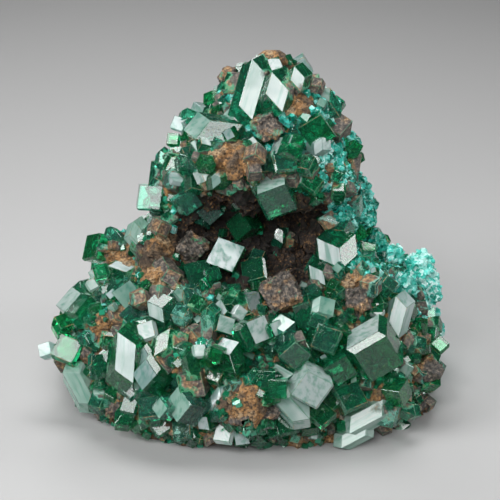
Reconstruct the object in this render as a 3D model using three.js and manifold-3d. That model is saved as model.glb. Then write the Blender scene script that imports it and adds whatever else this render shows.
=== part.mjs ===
// Dioptase specimen: emerald crystals grown over a lump of iron-stained matrix.
// A broad band of crystals runs round the flat foot, and a tall cone stands on it.
// The front of the cone overhangs a dark hollow. Millimetres, +Z up, the front faces -Y.

import * as THREE from 'three';
import { ConvexGeometry } from 'three/addons/geometries/ConvexGeometry.js';
import { mergeVertices } from 'three/addons/utils/BufferGeometryUtils.js';
import Module from 'manifold-3d';

const wasm = await Module();
wasm.setup();

// The matrix, as level outlines: height, then the reach to the left, right, front and back.
const MATRIX_LEVELS = [
  [-4.0, 22.6, 23.4, 20.6, 17.6],
  [0.8, 24.0, 24.8, 21.8, 18.4],
  [5.0, 25.6, 25.8, 22.4, 19.0],
  [10.0, 24.2, 25.2, 20.6, 18.8],
  [14.0, 20.8, 23.0, 17.8, 17.6],
  [17.4, 16.8, 18.8, 13.8, 16.2],
  [20.4, 14.2, 15.4, 10.4, 14.8],
  [23.6, 13.2, 14.8, 9.4, 13.8],
  [27.0, 12.2, 14.4, 8.8, 12.8],
  [30.4, 11.0, 14.2, 8.8, 12.0],
  [33.6, 9.4, 13.8, 8.4, 11.2],
  [37.0, 7.2, 12.6, 6.4, 10.4],
  [40.6, 4.2, 10.6, 3.8, 9.4],
  [44.0, 1.6, 8.4, 0.8, 8.2],
  [46.8, -0.6, 6.6, -1.4, 6.6],
];
const MATRIX_TOP = [3.4, 3.6, 48.4];
const MATRIX_SIDES = 20;
const MATRIX_SQUARENESS = 2.5;
const MATRIX_ROUGHNESS = 0.45;

// The hollow under the overhanging cone: middle across and up, half width, half height, depth.
const HOLLOW = { across: 0.6, height: 24.4, halfWidth: 12.5, halfHeight: 6.4, depth: 8.0 };

// Crystals and lumps are placed as seen from this viewpoint: across and up in the plane through
// VIEW_TARGET that faces it. Each sits on the matrix where its line of sight meets the rock.
const VIEW_TARGET = new THREE.Vector3(0, 0, 19.7);
const VIEW_ELEVATION = 25;
const VIEW_DISTANCE = 297.6;

// How far a crystal's middle stands off the rock, before its own lift.
const STAND_OFF = 1.8;
const LUMP_STAND_OFF = 0.8;
const LUMP_DEPTH = 0.9;

// Dioptase habit: a hexagonal prism closed at both ends by three steep rhombohedral faces.
// A small stubby crystal shows the rhombohedral faces alone, and is nearly a cube.
const RHOMBOHEDRON_TILT = 51;
const SMALL_WIDTH = 3.7;
const STUBBY_LENGTH = 1.36;

// Lumps of matrix: across, up, lift towards the viewer, width, height, turn.
const LUMPS = [
  [3.9, 27.2, 0.2, 6.0, 3.8, 0],
  [-2.4, 24.4, 0.4, 3.4, 5.0, 35],
  [6.6, 21.0, 0.4, 4.6, 5.4, -35],
  [-2.6, 12.8, 0.3, 7.6, 4.6, 0],
  [-9.6, 15.4, 0.4, 2.4, 5.6, 25],
  [-12.4, 0.2, 1.0, 3.6, 6.0, 10],
  [-16.6, -1.6, 1.4, 8.6, 4.8, 25],
  [-13.0, -4.6, 1.2, 3.0, 3.6, 0],
  [-20.6, -11.2, 1.2, 3.8, 3.6, 0],
  [-8.2, -16.2, 0.7, 5.0, 3.6, -20],
  [-0.4, -21.6, 0.8, 6.6, 6.0, 0],
  [14.6, -4.6, 0.6, 5.4, 5.0, 0],
  [18.6, -20.4, 0.6, 5.2, 3.4, 20],
  [22.4, -22.6, 0.6, 5.4, 4.6, 30],
  [27.6, -15.6, 0.6, 3.6, 5.0, 0],
  [10.4, 2.0, 0.6, 3.6, 1.8, 15],
];

// Crystals in view: across, up, lift towards the viewer, width, length, then the direction of the
// long axis as lean (clockwise from upright) and tip (towards the viewer), and the roll about it.
const PEAK_CRYSTALS = [
  [0.2, 22.9, 1.6, 4.3, 10.0, 16, -2, 30],
  [3.7, 22.3, 1.2, 4.9, 7.6, 18, -4, 30],
  [3.5, 26.7, 1.0, 2.5, 3.4, 25, 35, 0],
  [7.2, 26.5, 0.5, 2.5, 3.0, 20, 50, 10],
  [9.4, 23.0, 0.4, 2.6, 3.2, 50, 30, 0],
  [-4.4, 16.7, 1.4, 4.4, 8.2, -85, 4, 50],
  [2.5, 17.6, 1.0, 3.4, 4.0, 15, 42, 0],
  [5.4, 14.5, 1.4, 3.8, 5.2, 75, 12, 10],
  [9.4, 17.4, 1.0, 3.8, 4.4, -20, 35, 0],
  [9.8, 14.8, 1.0, 2.6, 4.0, 55, 5, 30],
  [4.6, 12.3, 0.8, 4.4, 5.2, 35, 15, 0],
  [3.7, 7.6, 2.4, 6.4, 7.4, 40, 68, 20],
  [-6.1, 11.4, 1.0, 2.6, 4.8, 27, 0, 30],
  [-4.5, 10.0, 1.0, 3.2, 4.0, 55, 30, 0],
  [-10.2, 18.0, 0.7, 2.6, 3.2, -25, 40, 0],
  [-8.0, 12.9, 0.8, 4.6, 5.6, 25, 15, 0],
  [-9.4, 10.6, 0.7, 3.0, 3.8, 35, 10, 0],
  [-11.2, 13.1, 0.9, 2.6, 3.2, 10, 30, 0],
  [8.2, 11.8, 0.6, 3.2, 4.4, -25, 10, 0],
  [9.0, 9.2, 0.7, 3.2, 4.0, -10, 20, 0],
];
const FLANK_CRYSTALS = [
  [12.4, -0.9, 1.6, 5.6, 7.4, 14, 6, -12],
  [-10.9, 8.1, 1.3, 4.2, 5.4, -10, 30, 10],
  [-14.3, 7.5, 1.6, 4.8, 5.6, -40, 40, 0],
  [-16.2, 2.6, 0.8, 2.6, 4.8, 18, 5, 30],
  [-13.9, 2.4, 1.2, 3.0, 3.8, 15, 35, 0],
  [-11.5, 4.3, 0.8, 2.5, 3.2, 5, 15, 0],
  [12.6, 8.3, 0.9, 2.4, 3.2, -30, 10, 30],
  [13.2, 4.8, 0.8, 2.6, 3.8, -30, 10, 10],
  [11.3, 4.0, 0.8, 3.2, 4.0, 10, 30, 0],
];
const HOLLOW_CRYSTALS = [
  [-3.4, -0.9, 2.6, 6.0, 6.6, -21, 42, 0],
  [-8.4, 0.4, 0.8, 3.4, 4.0, 0, 15, 30],
  [-5.7, 5.7, 0.7, 2.6, 3.0, 0, 55, 0],
  [8.0, 6.6, 0.4, 2.6, 3.4, 10, 30, 0],
];
const LEFT_BAND_CRYSTALS = [
  [-24.3, -8.3, 1.6, 5.4, 5.6, 97, 0, 0],
  [-26.0, -14.2, 1.2, 4.8, 6.0, -20, 35, 0],
  [-29.0, -14.4, 0.6, 2.6, 3.6, -60, 20, 0],
  [-26.8, -10.9, 0.6, 3.0, 4.4, 20, 10, 0],
  [-24.0, -19.7, 0.9, 3.4, 8.2, -28, 0, 20],
  [-22.6, -14.6, 1.0, 3.2, 4.8, 10, 15, 30],
  [-20.8, -16.8, 0.8, 3.6, 5.4, 25, 10, 0],
  [-17.5, -15.5, 1.8, 4.6, 8.6, 2, -4, 30],
  [-19.5, -4.2, 0.9, 2.8, 3.4, 35, 40, 0],
  [-17.3, -6.1, 1.2, 3.2, 3.8, 45, 40, 0],
  [-20.0, -6.4, 0.6, 3.4, 4.0, 0, 30, 0],
  [-12.7, -8.9, 1.5, 3.8, 5.6, -8, 15, 0],
  [-14.5, -11.6, 1.0, 3.4, 4.4, -60, 30, 0],
  [-11.6, -13.8, 1.5, 4.4, 7.0, 58, 12, 0],
  [-13.2, -18.2, 1.8, 5.2, 6.2, 52, 28, 10],
  [-14.0, -22.7, 1.0, 4.2, 5.2, -50, 20, 0],
  [-17.1, -22.3, 0.8, 3.0, 3.8, -30, 30, 0],
];
const FRONT_BAND_CRYSTALS = [
  [4.4, -6.2, 2.0, 6.2, 7.6, 18, 30, 0],
  [-2.4, -7.6, 1.0, 3.6, 5.4, 82, 10, 0],
  [-7.4, -8.0, 0.9, 3.0, 4.0, -20, 15, 0],
  [-9.6, -9.6, 1.1, 3.0, 4.6, -20, 10, 0],
  [-5.9, -10.9, 1.6, 2.4, 7.2, 10, 3, 30],
  [-3.4, -10.6, 1.6, 3.6, 4.4, 55, 40, 0],
  [0.4, -11.9, 2.2, 5.4, 6.4, 40, 35, 20],
  [-3.0, -16.0, 1.8, 4.0, 6.4, -16, 8, 0],
  [-4.8, -18.2, 0.9, 2.8, 3.8, -20, 20, 0],
  [4.6, -11.9, 1.8, 3.8, 4.8, 0, 12, 0],
  [6.2, -14.6, 2.0, 4.6, 5.6, -20, 50, 0],
  [2.1, -18.8, 1.8, 4.8, 5.6, 45, 40, 0],
  [8.7, -19.1, 2.2, 6.2, 7.2, -12, 62, 0],
  [-8.1, -18.9, 1.5, 5.0, 5.8, 35, 50, 0],
  [-8.8, -22.2, 1.6, 5.4, 6.4, 30, 30, 0],
  [-9.6, -25.7, 0.9, 3.6, 4.6, -50, 35, 0],
  [-12.8, -25.3, 0.8, 3.0, 3.8, 10, 35, 0],
  [-3.6, -26.4, 0.9, 3.4, 4.4, -35, 25, 0],
  [-1.2, -26.7, 1.0, 3.0, 3.6, 35, 40, 0],
  [-4.2, -21.3, 1.2, 2.8, 5.0, 38, 8, 0],
  [-1.4, -23.6, 1.2, 3.2, 4.0, -20, 30, 0],
  [2.6, -22.8, 1.0, 3.4, 4.2, 20, 30, 0],
  [6.0, -22.4, 1.6, 3.8, 7.0, -48, 8, 15],
  [5.2, -25.0, 0.9, 4.0, 5.0, 30, 20, 0],
  [10.2, -23.8, 0.9, 4.2, 5.2, 0, 20, 0],
  [10.2, -8.4, 1.6, 3.4, 5.0, 58, 20, 0],
  [10.8, -12.6, 1.8, 4.8, 5.8, -25, 40, 0],
];
const RIGHT_BAND_CRYSTALS = [
  [17.9, -14.3, 2.8, 7.6, 10.4, -35, 0, 30],
  [21.0, -9.8, 1.4, 3.6, 7.2, 17, 0, 30],
  [20.1, -5.3, 0.9, 2.6, 3.6, 20, 5, 30],
  [22.0, -5.0, 0.8, 2.8, 4.6, 12, 0, 0],
  [15.4, -6.9, 1.6, 4.4, 5.2, 38, 42, 0],
  [24.2, -14.0, 1.0, 3.2, 4.0, 0, 40, 0],
  [25.6, -17.0, 1.2, 4.0, 5.0, 10, 30, 0],
  [27.3, -13.6, 0.7, 2.6, 3.4, 0, 30, 0],
  [20.9, -18.9, 1.0, 3.0, 4.2, 35, 25, 0],
  [16.7, -23.8, 1.4, 3.8, 8.0, 61, 0, 20],
  [14.2, -21.3, 1.2, 5.0, 6.0, 20, 20, 0],
  [12.6, -16.8, 1.2, 4.8, 6.0, 30, 30, 0],
  [21.4, -24.9, 0.6, 3.0, 3.6, 0, 30, 0],
  [23.4, -21.8, 0.8, 3.0, 4.4, 50, 10, 0],
  [24.2, -2.2, 0.8, 3.2, 3.8, 20, 30, 0],
  [20.6, -0.6, 0.6, 2.6, 3.2, 40, 30, 0],
];

// Crystals on the sides and back, in rings: height, how many, smallest and largest width.
const REAR_RINGS = [
  [4.0, 8, 4.2, 7.4],
  [10.5, 7, 4.0, 7.6],
  [17.0, 6, 3.8, 6.6],
  [23.5, 5, 3.6, 6.2],
  [30.0, 4, 3.4, 5.8],
  [36.5, 3, 3.2, 5.2],
  [42.0, 2, 3.0, 4.6],
];
const REAR_FROM = 3;
const REAR_TO = 173;
const REAR_STAND_OFF = 1.5;
const REAR_LENGTH = [1.1, 1.5];
const REAR_CENTRE_X = 1.0;

// The level outlines run inside the fine crystal skin, which reaches out from them by SKIN.
// The rock lies ROCK_DEPTH inside them.
const SKIN = 0.7;
const ROCK_DEPTH = 1.0;

// The heights at which the crust divides, and the sides of the hollow.
const CLEARANCE = 0.3;
const BAND_TOP = 19.6;
const HOLLOW_ROOF = 29.4;
const HOLLOW_LEFT = -10.4;
const HOLLOW_RIGHT = 11.6;
const HOLLOW_BACK = 1.5;

const FAR = 100;
const rad = THREE.MathUtils.degToRad;

// Evenly scattered numbers from 0 to 1: item i of series k.
const SERIES = [0.6180339887, 0.7548776662, 0.5698402910, 0.8191725134, 0.6710436067];
const scatter = (i, k) => ((i + 1) * SERIES[k]) % 1;
const between = (low, high, t) => low + (high - low) * t;

const elevation = rad(VIEW_ELEVATION);
const VIEW_RIGHT = new THREE.Vector3(1, 0, 0);
const VIEW_UP = new THREE.Vector3(0, Math.sin(elevation), Math.cos(elevation));
const VIEW_TOWARDS = new THREE.Vector3(0, -Math.cos(elevation), Math.sin(elevation));
const VIEWPOINT = VIEW_TARGET.clone().addScaledVector(VIEW_TOWARDS, VIEW_DISTANCE);

// A closed geometry as a solid that can be joined and cut.
function solid(geometry) {
  const bare = new THREE.BufferGeometry();
  bare.setAttribute('position', geometry.getAttribute('position'));
  if (geometry.index) bare.setIndex(geometry.index);
  const merged = mergeVertices(bare, 1e-4);
  return new wasm.Manifold(new wasm.Mesh({
    numProp: 3,
    vertProperties: new Float32Array(merged.getAttribute('position').array),
    triVerts: new Uint32Array(merged.index.array),
  }));
}

function geometryOf(manifold) {
  const mesh = manifold.getMesh();
  const geometry = new THREE.BufferGeometry();
  geometry.setAttribute('position', new THREE.BufferAttribute(mesh.vertProperties, 3));
  geometry.setIndex(new THREE.BufferAttribute(mesh.triVerts, 1));
  return geometry;
}

const joined = (solids) => solids.reduce((sum, next) => sum.add(next));

// The largest connected part of a solid: what a cut leaves loose is dropped.
function mainBody(manifold) {
  const parts = manifold.decompose();
  return parts.reduce((best, part) => (part.volume() > best.volume() ? part : best));
}

function box(low, high) {
  const size = high.map((value, axis) => value - low[axis]);
  const geometry = new THREE.BoxGeometry(...size);
  geometry.translate(...high.map((value, axis) => (value + low[axis]) / 2));
  return solid(geometry);
}

// One level outline of the matrix: a rounded square with four different reaches.
function levelPoint([height, left, right, front, back], turn) {
  const c = Math.cos(turn);
  const s = Math.sin(turn);
  const centreX = (right - left) / 2;
  const centreY = (back - front) / 2;
  const halfX = (right + left) / 2;
  const halfY = (back + front) / 2;
  const power = MATRIX_SQUARENESS;
  const reach = (Math.abs(c) ** power + Math.abs(s) ** power) ** (-1 / power);
  const knobs = Math.sin(5 * turn + height * 0.55) + Math.sin(9 * turn - height * 0.8);
  const rough = 1 + (MATRIX_ROUGHNESS * knobs) / (halfX + halfY);
  const x = centreX + halfX * reach * c * rough;
  const y = centreY + halfY * reach * s * rough;
  return [x, y < 0 ? y + hollowDepth(x, height) : y, height];
}

function hollowDepth(x, height) {
  const across = Math.min(Math.abs(x - HOLLOW.across) / HOLLOW.halfWidth, 1);
  const up = Math.min(Math.abs(height - HOLLOW.height) / HOLLOW.halfHeight, 1);
  return HOLLOW.depth * (1 - across ** 3) * (1 - up ** 4);
}

// The matrix body, grown outwards by the given amount.
function matrixBody(grow) {
  const points = [];
  for (const level of MATRIX_LEVELS) {
    for (let side = 0; side < MATRIX_SIDES; side++) {
      points.push(...levelPoint(level, (side / MATRIX_SIDES) * 2 * Math.PI));
    }
  }
  const foot = MATRIX_LEVELS.length * MATRIX_SIDES;
  points.push(0, 0, MATRIX_LEVELS[0][0], ...MATRIX_TOP);
  const faces = [];
  for (let side = 0; side < MATRIX_SIDES; side++) {
    const next = (side + 1) % MATRIX_SIDES;
    faces.push(foot, next, side);
    for (let level = 0; level < MATRIX_LEVELS.length - 1; level++) {
      const a = level * MATRIX_SIDES;
      const b = a + MATRIX_SIDES;
      faces.push(a + side, a + next, b + next, a + side, b + next, b + side);
    }
    const last = (MATRIX_LEVELS.length - 1) * MATRIX_SIDES;
    faces.push(last + side, last + next, foot + 1);
  }
  const geometry = new THREE.BufferGeometry();
  geometry.setAttribute('position', new THREE.Float32BufferAttribute(points, 3));
  geometry.setIndex(faces);
  geometry.computeVertexNormals();
  const place = geometry.getAttribute('position');
  const normal = geometry.getAttribute('normal');
  for (let i = 0; i < place.count; i++) {
    place.setXYZ(
      i,
      place.getX(i) + normal.getX(i) * grow,
      place.getY(i) + normal.getY(i) * grow,
      place.getZ(i) + normal.getZ(i) * grow,
    );
  }
  return geometry;
}

// Where the line of sight through (across, up) meets the given mesh, moved towards the viewer.
function sightPoint(mesh, across, up, lift) {
  const aim = VIEW_TARGET.clone()
    .addScaledVector(VIEW_RIGHT, across)
    .addScaledVector(VIEW_UP, up);
  const direction = aim.sub(VIEWPOINT).normalize();
  const hit = new THREE.Raycaster(VIEWPOINT, direction).intersectObject(mesh)[0];
  const distance = hit ? hit.distance : nearestPass(direction);
  return VIEWPOINT.clone().addScaledVector(direction, distance - lift - STAND_OFF);
}

// Past the outline of the rock, a crystal stands at the depth of the specimen's own axis.
function nearestPass(direction) {
  const centre = new THREE.Vector3(REAR_CENTRE_X, 0, VIEW_TARGET.z);
  return centre.sub(VIEWPOINT).dot(direction);
}

function lumpGeometry([across, up, lift, width, height, turn], index, mesh, grow) {
  const centre = sightPoint(mesh, across, up, lift - STAND_OFF + LUMP_STAND_OFF);
  const shape = new THREE.IcosahedronGeometry(1, 0);
  const place = shape.getAttribute('position');
  for (let i = 0; i < place.count; i++) {
    const [x, y, z] = [place.getX(i), place.getY(i), place.getZ(i)];
    const knob = 1 + 0.14 * Math.sin(4 * x + 3 * y + index) * Math.cos(3 * z - 2 * x + index);
    place.setXYZ(
      i,
      x * knob * (width / 2 + grow),
      y * knob * (height / 2 + grow),
      z * knob * (Math.min(width, height) / 2 + LUMP_DEPTH + grow),
    );
  }
  const frame = new THREE.Matrix4().makeBasis(VIEW_RIGHT, VIEW_UP, VIEW_TOWARDS);
  shape.applyMatrix4(new THREE.Matrix4().makeRotationZ(-rad(turn)).premultiply(frame));
  shape.translate(centre.x, centre.y, centre.z);
  return shape;
}

// The faces of a crystal: outward direction and distance from the centre.
function crystalFaces(width, length) {
  const faces = [];
  const stubby = width < SMALL_WIDTH && length < STUBBY_LENGTH * width;
  for (let side = 0; side < 6 && !stubby; side++) {
    const turn = rad(30 + 60 * side);
    faces.push([new THREE.Vector3(Math.cos(turn), Math.sin(turn), 0), width / 2]);
  }
  const tilt = rad(RHOMBOHEDRON_TILT);
  for (let side = 0; side < 3; side++) {
    const turn = rad(120 * side);
    const up = new THREE.Vector3(
      Math.sin(tilt) * Math.cos(turn),
      Math.sin(tilt) * Math.sin(turn),
      Math.cos(tilt),
    );
    const reach = stubby ? width / 2 : (Math.cos(tilt) * length) / 2;
    faces.push([up, reach], [up.clone().negate(), reach]);
  }
  return faces;
}

// The corners where three faces meet and no other face cuts them off.
function crystalCorners(faces) {
  const corners = [];
  for (let i = 0; i < faces.length; i++) {
    for (let j = i + 1; j < faces.length; j++) {
      for (let k = j + 1; k < faces.length; k++) {
        const corner = meetingPoint(faces[i], faces[j], faces[k]);
        if (!corner) continue;
        if (faces.some(([n, d]) => n.dot(corner) > d + 1e-6)) continue;
        if (corners.some((other) => other.distanceTo(corner) < 1e-4)) continue;
        corners.push(corner);
      }
    }
  }
  return corners;
}

function meetingPoint([n1, d1], [n2, d2], [n3, d3]) {
  const across = new THREE.Vector3().crossVectors(n2, n3);
  const volume = n1.dot(across);
  if (Math.abs(volume) < 1e-6) return null;
  return across.multiplyScalar(d1)
    .addScaledVector(new THREE.Vector3().crossVectors(n3, n1), d2)
    .addScaledVector(new THREE.Vector3().crossVectors(n1, n2), d3)
    .divideScalar(volume);
}

// A crystal at a point, its long axis along `axis`, with a side turned to `facing` and rolled.
function crystalSolid({ centre, axis, facing, roll, width, length }, grow) {
  const z = axis.clone().normalize();
  let x = facing.clone().addScaledVector(z, -facing.dot(z));
  if (x.length() < 1e-3) x = VIEW_UP.clone().addScaledVector(z, -VIEW_UP.dot(z));
  x.normalize().applyAxisAngle(z, rad(roll));
  const y = new THREE.Vector3().crossVectors(z, x);
  const faces = crystalFaces(width, length).map(([n, d]) => [n, d + grow]);
  const geometry = new ConvexGeometry(crystalCorners(faces));
  geometry.applyMatrix4(new THREE.Matrix4().makeBasis(x, y, z).setPosition(centre));
  return solid(geometry);
}

function viewedCrystal([across, up, lift, width, length, lean, tip, roll], mesh) {
  const centre = sightPoint(mesh, across, up, lift);
  const scale = centre.distanceTo(VIEWPOINT) / VIEW_DISTANCE;
  const axis = new THREE.Vector3()
    .addScaledVector(VIEW_RIGHT, Math.sin(rad(lean)) * Math.cos(rad(tip)))
    .addScaledVector(VIEW_UP, Math.cos(rad(lean)) * Math.cos(rad(tip)))
    .addScaledVector(VIEW_TOWARDS, Math.sin(rad(tip)));
  return { centre, axis, facing: VIEW_TOWARDS, roll, width: width * scale, length: length * scale };
}

// The crystals of one ring on the sides and back, each leaning out from the rock.
function rearCrystals([height, count, small, large], ring, mesh) {
  const crystals = [];
  for (let i = 0; i < count; i++) {
    const item = ring * 16 + i;
    const step = (REAR_TO - REAR_FROM) / (count - 1 || 1);
    const turn = rad(REAR_FROM + step * i + 8 * (scatter(item, 0) - 0.5));
    const level = height + 3.4 * (scatter(item, 1) - 0.5);
    const out = new THREE.Vector3(Math.cos(turn), Math.sin(turn), 0);
    const start = new THREE.Vector3(REAR_CENTRE_X, 2, level).addScaledVector(out, FAR);
    const hit = new THREE.Raycaster(start, out.clone().negate()).intersectObject(mesh)[0];
    const width = between(small, large, scatter(item, 2) ** 1.6);
    const length = width * between(...REAR_LENGTH, scatter(item, 3));
    const lean = rad(between(-15, 75, scatter(item, 4)));
    const skew = rad(between(-35, 35, scatter(item, 3)));
    const axis = new THREE.Vector3(
      Math.cos(turn + skew) * Math.cos(lean),
      Math.sin(turn + skew) * Math.cos(lean),
      Math.sin(lean),
    );
    crystals.push({
      centre: hit.point.addScaledVector(out, REAR_STAND_OFF),
      axis,
      facing: new THREE.Vector3(0, 0, 1),
      roll: 60 * scatter(item, 1),
      width,
      length,
    });
  }
  return crystals;
}

const rayMesh = (geometry) => new THREE.Mesh(geometry, new THREE.MeshBasicMaterial());

// The matrix: body and lumps as one rock, cut flat at the foot.
const above = box([-FAR, -FAR, 0], [FAR, FAR, FAR]);
const bodyMesh = rayMesh(matrixBody(-ROCK_DEPTH));
const lumpSolids = (grow) => LUMPS.map((lump, i) => solid(lumpGeometry(lump, i, bodyMesh, grow)));
const matrix = mainBody(joined([solid(matrixBody(-ROCK_DEPTH)), ...lumpSolids(0)]).intersect(above));
const matrixCut = joined([solid(matrixBody(CLEARANCE - ROCK_DEPTH)), ...lumpSolids(CLEARANCE)]);
const rockMesh = rayMesh(geometryOf(matrix));

const viewed = (rows) => rows.map((row) => viewedCrystal(row, rockMesh));
const rear = REAR_RINGS.map((ring, i) => rearCrystals(ring, i, rockMesh));
const rearBelow = (top, bottom) => rear.filter((_, i) => {
  const height = REAR_RINGS[i][0];
  return height < top && height >= bottom;
}).flat();

// The crust divides into four solids: round the band, on the flanks, in the hollow, on the peak.
const half = CLEARANCE / 2;
const hollowBox = (grow) => box(
  [HOLLOW_LEFT - grow, -FAR, BAND_TOP - grow],
  [HOLLOW_RIGHT + grow, HOLLOW_BACK + grow, HOLLOW_ROOF + grow],
);
const slice = (low, high) => box([-FAR, -FAR, low], [FAR, FAR, high]);
const CRUSTS = [
  {
    name: 'peak_crust',
    crystals: [...viewed(PEAK_CRYSTALS), ...rearBelow(FAR, HOLLOW_ROOF)],
    region: (grow) => slice(HOLLOW_ROOF + half - grow, FAR),
  },
  {
    name: 'band_crust',
    crystals: [
      ...viewed([...LEFT_BAND_CRYSTALS, ...FRONT_BAND_CRYSTALS, ...RIGHT_BAND_CRYSTALS]),
      ...rearBelow(BAND_TOP, 0),
    ],
    region: (grow) => slice(-FAR, BAND_TOP - half + grow),
  },
  {
    name: 'flank_crust',
    crystals: [...viewed(FLANK_CRYSTALS), ...rearBelow(HOLLOW_ROOF, BAND_TOP)],
    region: (grow) => slice(BAND_TOP + half - grow, HOLLOW_ROOF - half + grow)
      .subtract(hollowBox(-grow)),
  },
  {
    name: 'hollow_crust',
    crystals: viewed(HOLLOW_CRYSTALS),
    region: (grow) => hollowBox(grow - half),
  },
];

function crustSolid({ crystals, region }, grow) {
  const skin = solid(matrixBody(SKIN + grow)).intersect(region(grow));
  return joined([skin, ...crystals.map((crystal) => crystalSolid(crystal, grow))]);
}

const MATERIALS = {
  rock: new THREE.MeshStandardMaterial({ color: 0x6b4a2c, roughness: 0.95, metalness: 0 }),
  crystal: new THREE.MeshStandardMaterial({ color: 0x0f6b46, roughness: 0.15, metalness: 0 }),
};

function namedMesh(name, manifold, material) {
  const mesh = new THREE.Mesh(geometryOf(manifold), material);
  mesh.name = name;
  return mesh;
}

const group = new THREE.Group();
group.add(namedMesh('matrix_rock', matrix, MATERIALS.rock));
let taken = matrixCut;
for (const crust of CRUSTS) {
  const grown = crustSolid(crust, 0).intersect(above);
  group.add(namedMesh(crust.name, mainBody(grown.subtract(taken)), MATERIALS.crystal));
  taken = taken.add(crustSolid(crust, CLEARANCE));
}

// The origin is the middle of the foot, under the middle of the whole specimen.
const whole = new THREE.Box3().setFromObject(group);
const middle = whole.getCenter(new THREE.Vector3());
group.position.set(-middle.x, -middle.y, 0);

export default group;
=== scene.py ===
"""A dioptase specimen: emerald crystals grown over iron-stained matrix, dressed over its solids."""

import math
import random

import bpy
import numpy as np
from mathutils import Matrix, Vector
from mathutils.bvhtree import BVHTree


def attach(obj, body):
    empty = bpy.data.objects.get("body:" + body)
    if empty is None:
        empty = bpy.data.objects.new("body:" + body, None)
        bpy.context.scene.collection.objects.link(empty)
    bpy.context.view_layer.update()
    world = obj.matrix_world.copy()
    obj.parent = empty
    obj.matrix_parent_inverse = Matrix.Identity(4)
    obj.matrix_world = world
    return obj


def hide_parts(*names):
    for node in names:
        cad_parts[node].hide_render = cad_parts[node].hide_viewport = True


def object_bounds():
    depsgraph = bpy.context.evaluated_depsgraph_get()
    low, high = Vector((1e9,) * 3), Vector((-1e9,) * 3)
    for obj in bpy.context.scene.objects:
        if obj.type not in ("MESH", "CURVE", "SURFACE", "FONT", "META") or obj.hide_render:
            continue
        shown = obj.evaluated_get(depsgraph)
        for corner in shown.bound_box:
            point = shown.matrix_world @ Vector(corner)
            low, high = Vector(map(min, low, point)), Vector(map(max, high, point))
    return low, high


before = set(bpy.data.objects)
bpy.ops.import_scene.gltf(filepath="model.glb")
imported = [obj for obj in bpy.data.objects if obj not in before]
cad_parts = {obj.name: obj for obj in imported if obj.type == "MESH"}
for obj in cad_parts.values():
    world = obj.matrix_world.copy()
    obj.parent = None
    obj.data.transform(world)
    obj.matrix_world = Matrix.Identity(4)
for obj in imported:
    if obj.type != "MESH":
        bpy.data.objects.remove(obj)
CAD_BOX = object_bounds()
MM = 0.001

# The line of sight of the photograph. Crystals are placed across and up in its picture plane.
SIGHT_ELEVATION = math.radians(25)
SIGHT_DISTANCE = 297.6 * MM
SIGHT_TARGET = Vector((0.66, 1.90, 19.7)) * MM
SIGHT_RIGHT = Vector((1, 0, 0))
SIGHT_UP = Vector((0, math.sin(SIGHT_ELEVATION), math.cos(SIGHT_ELEVATION)))
SIGHT_TOWARDS = Vector((0, -math.cos(SIGHT_ELEVATION), math.sin(SIGHT_ELEVATION)))
VIEWPOINT = SIGHT_TARGET + SIGHT_TOWARDS * SIGHT_DISTANCE
LENS_MM = 150

# How far the middle of a crystal stands off the rock, before its own lift.
STAND_OFF = 1.8
# How far the cone's axis stands to the right of the sight target.
AXIS_X = 1.0

# Dioptase habit: a hexagonal prism closed by three steep rhombohedral faces at each end.
RHOMBOHEDRON_TILT = math.radians(51)
# Degrees from the middle of a prism's side to its edge, and from one end face to the next.
HALF_SIDE = 30
THIRD_TURN = 120
# A crystal narrower and, for its width, shorter than this has no prism: its end faces meet.
STUBBY_WIDTH = 3.7
STUBBY_LENGTH = 1.2
EDGE_WEAR = 0.04
# How far apart two crystals' growth patterns can lie, in mm.
GRAIN_SPREAD = 40
# The share of clean crystals whose edges still hold tan iron.
TAN_EDGED = 0.4
# How much of a crystal's faces the iron film covers, by its finish, and how much more at its foot, where
# the film also paints the shade between crystal and rock.
FILM_COVER = {"clear": 0.0, "pale": 0.0, "frost": 0.0, "druse": 0.0, "film": 0.34, "coat": 0.60}
FOOT_FILM_AND_SHADE = 0.54
FOOT_FILM_FROM = 0.9
FOOT_FILM_REACH = 2.0
# Crystals between these widths often have a smaller one grown parallel beside them. Its size and
# its place aside and along are shares of the large one's, and it stands back a little (mm).
TWIN_FROM = 3.6
TWIN_TO = 5.8
TWIN_SHARE = 0.6
TWIN_SIZE = (0.5, 0.72)
TWIN_ASIDE = 0.42
TWIN_ALONG = 0.3
TWIN_BACK = 0.3
# The way that the face given the pale etched finish looks: up, forwards and a little left, towards the
# lamps, so that its pale colour paints their reflection.
PAINTED_REFLECTION_FACING = Vector((-0.25, -0.63, 0.73)).normalized()
# A face counts as large from this share of the largest one's area.
LARGE_FACE = 0.5

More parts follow.
